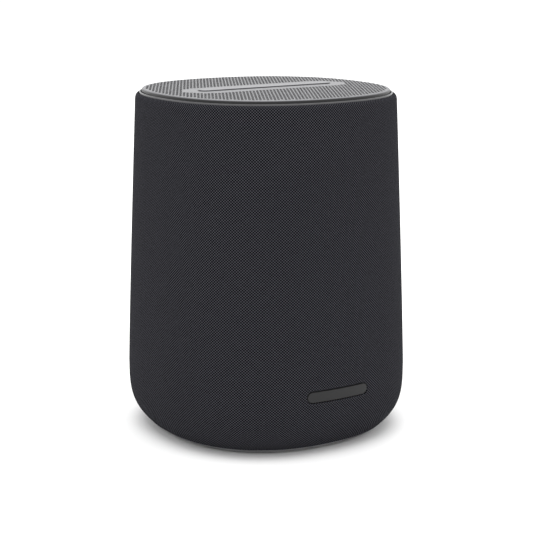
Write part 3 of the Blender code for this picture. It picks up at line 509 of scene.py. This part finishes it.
def satin_metal(name, face_colour, painted_shade_colour):
    """Fine blasted metal, silver on its upper face, with painted shade where it turns down into an edge or
    a hole.
    """
    material, tree, shader, place = start_material(name, 0.36, 0.35)
    blast = noise(tree, place, 5200.0, 2.0)
    drift = noise(tree, place, 60.0, 2.0)
    lighter = tuple(channel * 1.06 for channel in face_colour)
    tone = mix_colours(tree, spread(tree, drift, 0.0, 1.0), face_colour, lighter)
    normal = tree.nodes.new("ShaderNodeTexCoord").outputs["Normal"]
    upwards = add_node(tree, "ShaderNodeSeparateXYZ", {"Vector": normal}).outputs["Z"]
    # painted shade: faces turned away from up (the rolled rim, the slot and bar edges, the hole walls)
    # darken to the shade colour
    tone = mix_colours(tree, spread(tree, upwards, 0.0, 1.0, 0.35, 0.99), painted_shade_colour, tone)
    tree.links.new(tone, shader.inputs["Base Color"])
    tree.links.new(spread(tree, blast, 0.30, 0.44), shader.inputs["Roughness"])
    bump(tree, shader, blast, 0.008, 0.5)
    return material


def glossy(name, colour, roughness):
    """Polished plastic with a faint waviness."""
    material, tree, shader, place = start_material(name, roughness)
    drift = noise(tree, place, 90.0, 2.0)
    darker = tuple(channel * 0.8 for channel in colour)
    tone = mix_colours(tree, spread(tree, drift, 0.0, 1.0), darker, colour)
    tree.links.new(tone, shader.inputs["Base Color"])
    haze = noise(tree, place, 700.0, 4.0)
    tree.links.new(spread(tree, haze, roughness - 0.03, roughness + 0.05), shader.inputs["Roughness"])
    bump(tree, shader, drift, 0.05, 0.2)
    return material


def fibrous(name, colour, strand_mm):
    """Loose fibre, felt or knitted gauze."""
    material, tree, shader, place = start_material(name, 0.95)
    tangle = noise(tree, place, 1.0 / (strand_mm * MM), 6.0)
    darker = tuple(channel * 0.55 for channel in colour)
    tone = mix_colours(tree, spread(tree, tangle, 0.0, 1.0), darker, colour)
    tree.links.new(tone, shader.inputs["Base Color"])
    shader.inputs["Sheen Weight"].default_value = 0.3
    bump(tree, shader, tangle, strand_mm * 0.6, 0.8)
    return material


def circuit_board(name):
    """Green solder resist over copper tracks, with tinned pads."""
    material, tree, shader, place = start_material(name, 0.35)
    brick = add_node(tree, "ShaderNodeTexBrick", {"Vector": place, "Scale": 260.0, "Mortar Size": 0.03})
    track = mix_colours(tree, brick.outputs["Fac"], (0.012, 0.11, 0.045), (0.03, 0.21, 0.09))
    cells = add_node(tree, "ShaderNodeTexVoronoi", {"Vector": place, "Scale": 320.0})
    pad = spread(tree, cells.outputs["Distance"], 1.0, 0.0, 0.14, 0.18)
    tree.links.new(mix_colours(tree, pad, track, (0.62, 0.61, 0.56)), shader.inputs["Base Color"])
    bump(tree, shader, brick.outputs["Fac"], 0.03, 0.5)
    return material


def wound_copper(name):
    """Enamelled wire wound in fine turns along the driver's axis."""
    material, tree, shader, place = start_material(name, 0.3, 1.0)
    turns = add_node(
        tree, "ShaderNodeTexWave", {"Vector": place, "Scale": 900.0, "Distortion": 0.3}, bands_direction="Y"
    ).outputs["Fac"]
    tone = mix_colours(tree, turns, (0.34, 0.12, 0.05), (0.72, 0.33, 0.16))
    tree.links.new(tone, shader.inputs["Base Color"])
    bump(tree, shader, turns, 0.05, 0.8)
    return material


def make_finishes():
    """One finish for each material slot of the record."""
    return {
        "cloth": woven_cloth("charcoal_weave"),
        "black_plastic": moulded("black_plastic", (0.02, 0.02, 0.021), 0.45),
        "grey_plastic": moulded("grey_plastic", (0.12, 0.12, 0.125), 0.5),
        "trim_plastic": moulded("dark_grey_trim", (0.15, 0.15, 0.155), 0.45, 0.5, 0.01),
        "gloss_plastic": glossy("gloss_black", (0.016, 0.016, 0.017), 0.14),
        # the second colour of each satin metal is painted shade for its turned-down edges and hole walls
        "plate_metal": satin_metal("satin_silver", (0.168, 0.168, 0.178), (0.01, 0.01, 0.0105)),
        "bar_metal": satin_metal("bar_silver", (0.2, 0.2, 0.211), (0.02, 0.02, 0.021)),
        "badge_plastic": brushed("badge_grey", (0.012, 0.012, 0.0125), 0.38, metallic=0.0, shine=0.28),
        "foot_rubber": moulded("foot_rubber", (0.018, 0.018, 0.018), 0.8, 0.5, 0.05),
        "seal_rubber": moulded("seal_rubber", (0.025, 0.025, 0.025), 0.75, 0.8, 0.04),
        "surround_rubber": moulded("surround_rubber", (0.02, 0.02, 0.02), 0.55, 0.6, 0.02),
        "mesh_cloth": fibrous("acoustic_gauze", (0.02, 0.02, 0.02), 0.4),
        "wadding": fibrous("white_wadding", (0.8, 0.8, 0.77), 1.6),
        "spider_cloth": fibrous("treated_cloth", (0.55, 0.38, 0.12), 0.5),
        "dome_silk": fibrous("silk_dome", (0.03, 0.03, 0.03), 0.3),
        "cone_plastic": fibrous("pulp_cone", (0.03, 0.03, 0.032), 0.9),
        "copper": wound_copper("copper_winding"),
        "steel": brushed("plated_steel", (0.6, 0.6, 0.6), 0.28, (20.0, 20.0, 20.0)),
        "black_steel": moulded("black_coated_steel", (0.03, 0.03, 0.03), 0.4, 0.3, 0.02, 0.3),
        "ferrite": moulded("ferrite", (0.05, 0.05, 0.055), 0.6, 0.3, 0.05),
        "heat_sink_metal": brushed("extruded_aluminium", (0.7, 0.7, 0.72), 0.32, (40.0, 1.0, 40.0)),
        "circuit_board": circuit_board("circuit_board"),
        "capacitor_sleeve": glossy("capacitor_sleeve", (0.02, 0.02, 0.07), 0.3),
        "button_plastic": moulded("button_black", (0.03, 0.03, 0.032), 0.4, 0.4, 0.01),
        "mute_plastic": moulded("mute_orange", (0.62, 0.17, 0.04), 0.4, 0.4, 0.01),
        "wire": moulded("wire_insulation", (0.03, 0.03, 0.03), 0.5, 0.6, 0.01),
        "ribbon": moulded("ribbon_white", (0.68, 0.68, 0.66), 0.5, 0.5, 0.01),
    }


# ---------------------------------------------------------------- pieces

def cloth_profile():
    """The sleeve from its lower tuck up to its upper one, as (half width, z) points."""
    points = []
    low = CLOTH_BOTTOM + FOLD_R
    foot_half = skin(low) - FOLD_R
    points.append((foot_half - 1.0, CLOTH_BOTTOM))
    for degrees in range(0, 76, 15):
        angle = math.radians(degrees)
        points.append((foot_half + FOLD_R * math.sin(angle), low - FOLD_R * math.cos(angle)))
    z = low
    while z < SHOULDER_Z:
        points.append((skin(z), z))
        z += 0.8 if z < BELLY_Z else 3.0
    reach = skin(SHOULDER_Z) - SHOULDER_TOP_HALF
    for degrees in range(0, 84, 7):
        angle = math.radians(degrees)
        points.append(
            (SHOULDER_TOP_HALF + reach * math.cos(angle), SHOULDER_Z + SHOULDER_HEIGHT * math.sin(angle))
        )
    centre = (SHOULDER_TOP_HALF + FOLD_R, SHOULDER_Z + SHOULDER_HEIGHT - FOLD_R)
    for degrees in range(90, 181, 15):
        angle = math.radians(degrees)
        points.append((centre[0] + FOLD_R * math.cos(angle), centre[1] + FOLD_R * math.sin(angle)))
    points.append((SHOULDER_TOP_HALF, centre[1] - 2.0))
    return points


def build_cloth(finish):
    """The woven sleeve: a band round the body, seamed at the back, with openings for badge and panel."""
    profile = cloth_profile()
    lengths = running_length(profile)
    normals = []
    for i in range(len(profile)):
        before = profile[max(i - 1, 0)]
        after = profile[min(i + 1, len(profile) - 1)]
        run = math.dist(before, after)
        normals.append(((after[1] - before[1]) / run, (before[0] - after[0]) / run))
    heights = [z for _, z in profile]
    top = heights.index(max(heights))

    def along(z):
        """The length of the profile up to a height on the skin."""
        return between(heights[: top + 1], [(length,) for length in lengths], z)[0]

    back_seam = BACK * BELLY_ROUND
    badge_at = (FRONT * BELLY_ROUND + BADGE_X, BADGE_Z)
    badge_size = (BADGE_LENGTH + 2 * BADGE_GAP, BADGE_WIDTH + 2 * BADGE_GAP)
    badge_hole = (*badge_size, badge_size[1] / 2)
    panel_at = (back_seam, (PANEL_BOTTOM + PANEL_TOP) / 2)
    panel_hole = (
        2 * (PANEL_HALF_WIDTH + PANEL_GAP),
        PANEL_TOP - PANEL_BOTTOM + 2 * PANEL_GAP,
        PANEL_CORNER_R + PANEL_GAP,
    )
    openings = ((badge_at, badge_hole), (panel_at, panel_hole))

    def edge_distance(across, z):
        return min(rounded_distance(across - at[0], z - at[1], *size) for at, size in openings)

    def placed(across, up, depth):
        half, z = between(lengths, profile, up)
        out, rise = between(lengths, normals, up)
        if abs(across - back_seam) < BACK_SEAM_REACH and z > PANEL_TOP + 1.0:
            from_seam = (across - back_seam) / BACK_SEAM_WIDTH
            depth += BACK_SEAM_DEPTH * math.exp(-from_seam * from_seam)
        half -= depth * out
        return (*plan_at(half, across / BELLY_ROUND), z - depth * rise)

    def outer(across, up):
        z = between(lengths, profile, up)[1]
        return placed(across, up, fold(edge_distance(across, z), FOLD_R))

    def inner(across, up):
        z = between(lengths, profile, up)[1]
        near = max(0.0, 1.0 - edge_distance(across, z) / FOLD_R)
        return placed(across, up, CLOTH_THICKNESS + (TUCK - CLOTH_THICKNESS) * near)

    columns = round(BELLY_ROUND / CLOTH_STEP)
    column_step = BELLY_ROUND / columns
    rows = []
    for i, length in enumerate(lengths):
        if not rows or length - rows[-1] > CLOTH_LEAST_ROW or i == len(lengths) - 1:
            rows.append(length)
    fine_rows = [rows[0]]
    for start, end in zip(rows, rows[1:]):
        steps = max(1, round((end - start) / CLOTH_STEP))
        fine_rows += [start + (end - start) * k / steps for k in range(1, steps + 1)]
    outline = [(i * column_step, fine_rows[0]) for i in range(columns)]
    outline += [(BELLY_ROUND, up) for up in fine_rows[:-1]]
    outline += [(i * column_step, fine_rows[-1]) for i in range(columns, 0, -1)]
    outline += [(0.0, up) for up in reversed(fine_rows[1:])]
    holes = []
    inside = []
    for at, size in openings:
        holes.append([(across, along(z)) for across, z in rounded_loop(*size, at)])
        for distance in (*fold_steps(FOLD_R), 1.2):
            inside += [(across, along(z)) for across, z in rounded_loop(*size, at, distance)]
    for up in fine_rows[1:-1]:
        z = between(lengths, profile, up)[1]
        for i in range(1, columns):
            if edge_distance(i * column_step, z) > CLOTH_EDGE_MARGIN:
                inside.append((i * column_step, up))
        if z > PANEL_TOP + 3.0:
            inside += [(back_seam + k * BACK_SEAM_WIDTH, up) for k in range(-2, 3)]
    points, faces, corners = slab(outline, holes, inside, outer, inner, BELLY_ROUND)
    sleeve = add_piece("cloth_sleeve", points, faces, "cabinet", finish, "cloth", sharp_deg=50.0)
    layer = sleeve.data.uv_layers.new(name="Threads")
    for corner, (across, up) in zip(layer.data, corners):
        corner.uv = (across / BELLY_ROUND * THREADS_ROUND, up / THREAD_HEIGHT)
    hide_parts("fabric_sleeve")


def hole_centres():
    """Centres of the plate's round holes: staggered rows along X, clear of the rim and of the band."""
    row_pitch = HOLE_PITCH * math.sqrt(3.0) / 2
    rows = int(PLATE_HALF / row_pitch)
    columns = int(PLATE_HALF / HOLE_PITCH)
    centres = []
    for row in range(-rows, rows + 1):
        y = row * row_pitch
        shift = HOLE_PITCH / 2 if row % 2 else 0.0
        for column in range(-columns - 1, columns + 1):
            x = column * HOLE_PITCH + shift
            in_zone = plan_half(x, y) < HOLE_ZONE_HALF
            if in_zone and rounded_distance(x, y, BAND_LENGTH, BAND_WIDTH, BAND_WIDTH / 2) > 0.0:
                centres.append((x, y))
    return centres


def build_plate(finish):
    """The perforated top plate, with a slot for the bar and a skirt that turns down inside the lip."""
    slot_size = (BAR_LENGTH + 2 * BAR_GAP, BAR_WIDTH + 2 * BAR_GAP)
    slot = (*slot_size, slot_size[1] / 2)
    slot_edge_r = 0.15

    def outer(x, y):
        rim_distance = PLATE_HALF - plan_half(x, y)
        drop = fold(rim_distance, PLATE_ROLL) + fold(rounded_distance(x, y, *slot), slot_edge_r)
        return x, y, plate_height(x, y) - drop

    def inner(x, y):
        if PLATE_HALF - plan_half(x, y) < PLATE_THICKNESS - 0.05:
            return x, y, PLATE_SKIRT_Z
        return x, y, plate_height(x, y) - PLATE_THICKNESS

    shares = [i / ROUND_SEGMENTS for i in range(ROUND_SEGMENTS)]
    outline = [plan_at(PLATE_HALF, share) for share in shares]
    holes = [rounded_loop(*slot)]
    angles = [math.tau * i / HOLE_SIDES for i in range(HOLE_SIDES)]
    for x, y in hole_centres():
        holes.append([(x + HOLE_R * math.cos(angle), y + HOLE_R * math.sin(angle)) for angle in angles])
    inside = []
    for distance in (*fold_steps(PLATE_ROLL), PLATE_THICKNESS, 1.6):
        inside += [plan_at(PLATE_HALF - distance, share) for share in shares]
    for distance in (*fold_steps(slot_edge_r), 1.0):
        inside += rounded_loop(*slot, grow=distance)
    for distance in (2.5, 4.5, 6.5):
        inside += rounded_loop(*slot, grow=distance, step=1.5)
    points, faces, _ = slab(outline, holes, inside, outer, inner)
    plate = add_piece("perforated_plate", points, faces, "cabinet", finish, "plate_metal")
    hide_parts("top_plate")


def build_bar(finish):
    """The raised control bar, a long capsule with softened edges."""
    size = (BAR_LENGTH, BAR_WIDTH, BAR_WIDTH / 2)

    def outer(x, y):
        inset = -rounded_distance(x, y, *size)
        return x, y, plate_height(x, 0.0) + BAR_PROUD - fold(inset, BAR_EDGE_R)

    def inner(x, y):
        return x, y, BAR_BOTTOM

    inside = []
    for distance in (*fold_steps(BAR_EDGE_R), 0.9, 1.8, 2.7):
        inside += rounded_loop(*size, grow=-distance)
    points, faces, _ = slab(rounded_loop(*size), [], inside, outer, inner)
    bar = add_piece("volume_bar", points, faces, "bar", finish, "bar_metal")
    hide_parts("control_bar")


def build_lip(finish):
    """The slim glossy ring between the cloth and the plate."""
    edge = 0.12
    edge_cut = edge * 0.3  # how far its rounding stays from the sharp corner
    flare = 0.3
    flare_height = 1.0
    profile = [
        (LIP_INNER_HALF, LIP_BOTTOM),
        (LIP_OUTER_HALF + flare, LIP_BOTTOM),
        (LIP_OUTER_HALF, LIP_BOTTOM + flare_height),
        (LIP_OUTER_HALF, LIP_TOP - edge),
        (LIP_OUTER_HALF - edge_cut, LIP_TOP - edge_cut),
        (LIP_OUTER_HALF - edge, LIP_TOP),
        (LIP_INNER_HALF + edge, LIP_TOP),
        (LIP_INNER_HALF, LIP_TOP - edge),
    ]
    lip = add_piece("lip_ring", *square_turned(profile), "cabinet", finish, "gloss_plastic")
    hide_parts("top_trim_ring")


def build_base_ring(finish):
    """The dark ring under the cloth, its lower edge turned in."""
    edge = 0.5
    middle = 1.6
    top_edge = 0.3
    profile = [
        (TRIM_INNER_HALF, BASE_Z),
        (BASE_HALF - edge, BASE_Z),
        (BASE_HALF - edge * 0.3, BASE_Z + edge * 0.15),
        (skin(BASE_Z + edge), BASE_Z + edge),
        (skin(middle), middle),
        (skin(TRIM_TOP) - top_edge / 3, TRIM_TOP - top_edge / 2),
        (skin(TRIM_TOP) - top_edge, TRIM_TOP),
        (TRIM_INNER_HALF, TRIM_TOP),
    ]
    ring = add_piece("base_ring", *square_turned(profile), "cabinet", finish, "trim_plastic")
    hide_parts("base_trim_ring")


def build_foot(finish):
    """The rubber foot: a ring with two shallow grooves underneath."""
    inner_edge = 0.4
    outer_edge = 0.5
    depth = 0.5
    floor_half = 0.4
    mouth_half = 0.7
    profile = [(FOOT_INNER_HALF, FOOT_TOP), (FOOT_INNER_HALF, depth), (FOOT_INNER_HALF + inner_edge, 0.0)]
    width = FOOT_OUTER_HALF - FOOT_INNER_HALF
    for share in (0.33, 0.67):
        middle = FOOT_INNER_HALF + width * share
        profile += [
            (middle - mouth_half, 0.0),
            (middle - floor_half, depth),
            (middle + floor_half, depth),
            (middle + mouth_half, 0.0),
        ]
    profile += [(FOOT_OUTER_HALF - outer_edge, 0.0), (FOOT_OUTER_HALF, depth), (FOOT_OUTER_HALF, FOOT_TOP)]
    foot = add_piece("foot_ring", *square_turned(profile), "cabinet", finish, "foot_rubber")
    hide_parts("foot_pad")


def build_badge(finish):
    """A plain capsule badge that follows the front; it carries no lettering."""
    size = (BADGE_LENGTH, BADGE_WIDTH, BADGE_WIDTH / 2)

    def placed(x, up, depth):
        across = BADGE_X + x
        z = BADGE_Z + up
        return across, depth - skin_depth(across, z), z

    def outer(x, up):
        inset = -rounded_distance(x, up, *size)
        return placed(x, up, BADGE_INSET + fold(inset, BADGE_EDGE_R))

    def inner(x, up):
        return placed(x, up, BADGE_THICKNESS)

    inside = []
    for distance in (*fold_steps(BADGE_EDGE_R), 0.8, 1.6, 2.2):
        inside += rounded_loop(*size, grow=-distance)
    points, faces, _ = slab(rounded_loop(*size), [], inside, outer, inner)
    badge = add_piece("front_badge", points, faces, "cabinet", finish, "badge_plastic")
    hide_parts("badge")


def build_panel(finish):
    """The connector panel, which follows the back and has an opening for each connector and control."""
    centre = (0.0, (PANEL_BOTTOM + PANEL_TOP) / 2)
    size = (2 * PANEL_HALF_WIDTH, PANEL_TOP - PANEL_BOTTOM, PANEL_CORNER_R)
    button_r = PAIRING_R + CONTROL_GAP
    slider_size = (MUTE_KNOB[0] + MUTE_TRAVEL + 0.8, MUTE_KNOB[1] + 2 * CONTROL_GAP)
    openings = [
        ((INLET_X, INLET_Z), INLET_HOLE),
        ((SERVICE_X, SERVICE_Z), (*SERVICE_HOLE, SERVICE_HOLE[1] / 2)),
        ((PAIRING_X, CONTROLS_Z), (2 * button_r, 2 * button_r, button_r)),
        ((MUTE_X + MUTE_TRAVEL / 2, CONTROLS_Z), (*slider_size, 0.6)),
    ]
    rim_r = 0.5
    rim_margin = 1.6
    opening_r = 0.25
    opening_margin = 1.0
    grid_step = 1.5
    grid_reach = int(PANEL_HALF_WIDTH / grid_step)

    def placed(across, z, depth):
        x, y = plan_at(skin(z) - PANEL_INSET, BACK - across / BELLY_ROUND)
        return x, y - depth, z

    def outer(across, z):
        depth = fold(-rounded_distance(across, z - centre[1], *size), rim_r)
        for at, opening in openings:
            depth += fold(rounded_distance(across - at[0], z - at[1], *opening), opening_r)
        return placed(across, z, depth)

    def inner(across, z):
        return placed(across, z, PANEL_THICKNESS)

    inside = []
    for distance in (*fold_steps(rim_r), 1.2):
        inside += rounded_loop(*size, centre, -distance)
    holes = []
    for at, opening in openings:
        holes.append(rounded_loop(*opening, at, step=FINE_STEP))
        for distance in (*fold_steps(opening_r), 0.7):
            inside += rounded_loop(*opening, at, distance, step=FINE_STEP)
    for row in range(1, int(size[1] / grid_step)):
        for column in range(-grid_reach, grid_reach + 1):
            across = column * grid_step
            z = PANEL_BOTTOM + row * grid_step
            clear = min(rounded_distance(across - at[0], z - at[1], *one) for at, one in openings)
            from_rim = -rounded_distance(across, z - centre[1], *size)
            if clear > opening_margin and from_rim > rim_margin:
                inside.append((across, z))
    points, faces, _ = slab(rounded_loop(*size, centre), holes, inside, outer, inner)
    faces = [face[::-1] for face in faces]
    panel = add_piece("rear_panel", points, faces, "cabinet", finish, "gloss_plastic")
    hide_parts("connector_panel")


def build_port(finish):
    """The black lining inside the service port, and the tongue that carries its contacts."""
    points = []
    faces = []
    for size, start, end in zip((PORT_LINING, PORT_TONGUE), PORT_DEPTHS, PORT_DEPTHS[1:]):
        loop = rounded_loop(*size, (SERVICE_X, SERVICE_Z), step=FINE_STEP)
        block_points, block_faces = loft([[(x, y, z) for x, z in loop] for y in (start, end)])
        faces += [[i + len(points) for i in reversed(face)] for face in block_faces]
        points += block_points
    add_piece("port_insert", points, faces, "cabinet", finish, "black_plastic")


def soften(node, width_mm):
    """Rounds the edges of a CAD node that stays."""
    bevel = node.modifiers.new("edges", "BEVEL")
    bevel.width = width_mm * MM
    bevel.segments = 2
    bevel.limit_method = "ANGLE"
    bevel.angle_limit = math.radians(40.0)


# ---------------------------------------------------------------- stage

def build_camera():
    """A long lens that looks slightly down on the front, from its left."""
    data = bpy.data.cameras.new("camera")
    data.lens = CAMERA_LENS
    data.sensor_width = 36.0
    data.clip_start = 0.01
    data.clip_end = 50.0
    camera = bpy.data.objects.new("camera", data)
    camera.location = Vector(CAMERA_PLACE) * MM
    camera.rotation_mode = "QUATERNION"
    camera.rotation_quaternion = Vector(CAMERA_AIM).to_track_quat("-Z", "Y")
    bpy.context.collection.objects.link(camera)
    bpy.context.scene.camera = camera


def build_floor():
    """A wide, pale floor, which isn't part of the object."""
    reach = FLOOR_REACH
    corners = [(-reach, -reach, 0.0), (reach, -reach, 0.0), (reach, reach, 0.0), (-reach, reach, 0.0)]
    mesh = bpy.data.meshes.new("floor")
    mesh.from_pydata(corners, [], [(0, 1, 2, 3)])
    material, tree, shader, place = start_material("pale_floor", 0.7)
    drift = spread(tree, noise(tree, place, 3.0), 0.0, 1.0)
    darker, lighter = ((tone, tone, tone) for tone in FLOOR_TONES)
    tone = mix_colours(tree, drift, darker, lighter)
    tree.links.new(tone, shader.inputs["Base Color"])
    mesh.materials.append(material)
    floor = bpy.data.objects.new("floor", mesh)
    bpy.context.collection.objects.link(floor)


def build_light():
    """Even white light from all round, and one wide, soft lamp overhead."""
    world = bpy.data.worlds.new("studio")
    world.use_nodes = True
    background = world.node_tree.nodes["Background"]
    background.inputs["Color"].default_value = (1.0, 1.0, 1.0, 1.0)
    background.inputs["Strength"].default_value = WORLD_STRENGTH
    bpy.context.scene.world = world
    data = bpy.data.lights.new("overhead", "AREA")
    data.size = LAMP_SIZE
    data.energy = LAMP_POWER
    lamp = bpy.data.objects.new("overhead", data)
    lamp.location = LAMP_PLACE
    lamp.rotation_mode = "QUATERNION"
    lamp.rotation_quaternion = (Vector(LAMP_TARGET) - Vector(LAMP_PLACE)).to_track_quat("-Z", "Y")
    bpy.context.collection.objects.link(lamp)
    bpy.context.scene.view_settings.view_transform = "Standard"


def main():
    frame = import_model()
    build_camera()
    finishes = make_finishes()
    for node in frame["nodes"].values():
        slot = node.data.materials[0].name
        node.material_slots[0].material = finishes[slot]
    for name in SOFTENED:
        soften(frame["nodes"][name], SOFTENED_R)
    build_cloth(finishes["cloth"])
    build_plate(finishes["plate_metal"])
    build_bar(finishes["bar_metal"])
    build_lip(glossy("lip_grey", (0.085, 0.085, 0.088), 0.22))
    build_base_ring(finishes["trim_plastic"])
    build_foot(finishes["foot_rubber"])
    build_badge(finishes["badge_plastic"])
    build_panel(finishes["gloss_plastic"])
    build_port(finishes["black_plastic"])
    build_floor()
    build_light()


main()
